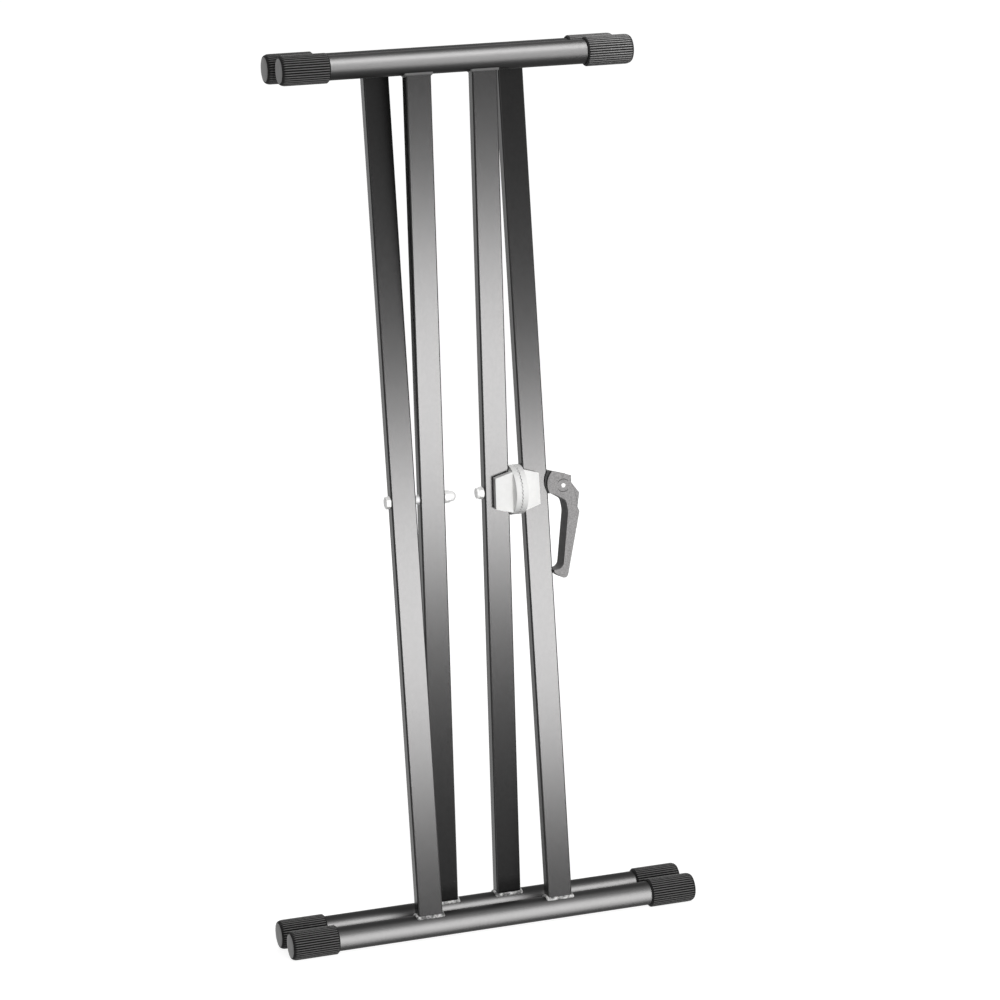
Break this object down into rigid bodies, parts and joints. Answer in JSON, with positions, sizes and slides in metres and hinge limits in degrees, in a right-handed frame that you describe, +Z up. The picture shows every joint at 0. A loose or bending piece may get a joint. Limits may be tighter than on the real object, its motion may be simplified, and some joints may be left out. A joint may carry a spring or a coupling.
{
  "type": "folding keyboard stand",
  "caption": "Folding keyboard stand with crossed bar frames, rubber-capped round tubes and a toothed hub held by a cam lever, shown folded flat.",
  "frame": {"origin": "on the floor, under the middle of the folded base", "axes": "+X along the tubes towards the lever's side, +Y to the rear, +Z up along the folded frames"},
  "size_m": [0.5, 0.082, 1.0338],
  "materials": {
    "frame_paint": "smooth satin anthracite paint",
    "cap_rubber": "ribbed black rubber",
    "weld_bead": "rounded weld bead",
    "hub_casting": "bright satin casting",
    "lever_casting": "fine cast grain, grey",
    "plated_fastener": "bright zinc plating",
    "plain_steel": "plain turned steel",
    "black_plastic": "moulded black plastic"
  },
  "bodies": {
    "inner_frame": {"inner_top_tube": "frame_paint", "inner_base_tube": "frame_paint", "inner_left_bar": "frame_paint", "inner_right_bar": "frame_paint", "inner_frame_welds": "weld_bead", "inner_top_cap_left": "cap_rubber", "inner_top_cap_right": "cap_rubber", "inner_base_cap_left": "cap_rubber", "inner_base_cap_right": "cap_rubber", "inner_left_bush": "plain_steel", "inner_right_bush": "plain_steel", "hub_inner_half": "hub_casting", "hub_spring": "plain_steel"},
    "outer_frame": {"outer_top_tube": "frame_paint", "outer_base_tube": "frame_paint", "outer_left_bar": "frame_paint", "outer_right_bar": "frame_paint", "outer_frame_welds": "weld_bead", "outer_top_cap_left": "cap_rubber", "outer_top_cap_right": "cap_rubber", "outer_base_cap_left": "cap_rubber", "outer_base_cap_right": "cap_rubber", "outer_left_bush": "plain_steel", "outer_right_bush": "plain_steel", "hub_outer_half": "hub_casting", "pivot_bolt": "plated_fastener", "pivot_spacer": "plain_steel", "pivot_washer": "plated_fastener", "pivot_dome_nut": "plated_fastener", "lever_saddle": "black_plastic"},
    "clamp_rod_group": {"clamp_rod": "plated_fastener", "rod_lock_nut": "plated_fastener", "rod_washer": "plated_fastener"},
    "lever_group": {"clamp_lever": "lever_casting", "lever_insert": "lever_casting", "lever_pin": "plated_fastener"}
  },
  "joints": [
    {"name": "fold", "type": "hinge", "parent": "inner_frame", "child": "outer_frame", "pos_m": [0, 0, 0.51692], "axis": [-1, 0, 0], "range_deg": [0, 99]},
    {"name": "rod_slide", "type": "slide", "parent": "outer_frame", "child": "clamp_rod_group", "axis": [-1, 0, 0], "range_m": [0, 0.00105]},
    {"name": "lever_swing", "type": "hinge", "parent": "clamp_rod_group", "child": "lever_group", "pos_m": [0.1133, 0, 0.51692], "axis": [0, -0.9988, 0.0479], "range_deg": [0, 100]}
  ],
  "couplings": [
    {"joint": "rod_slide", "follows": "lever_swing", "m_per_rad": 0.000573}
  ]
}
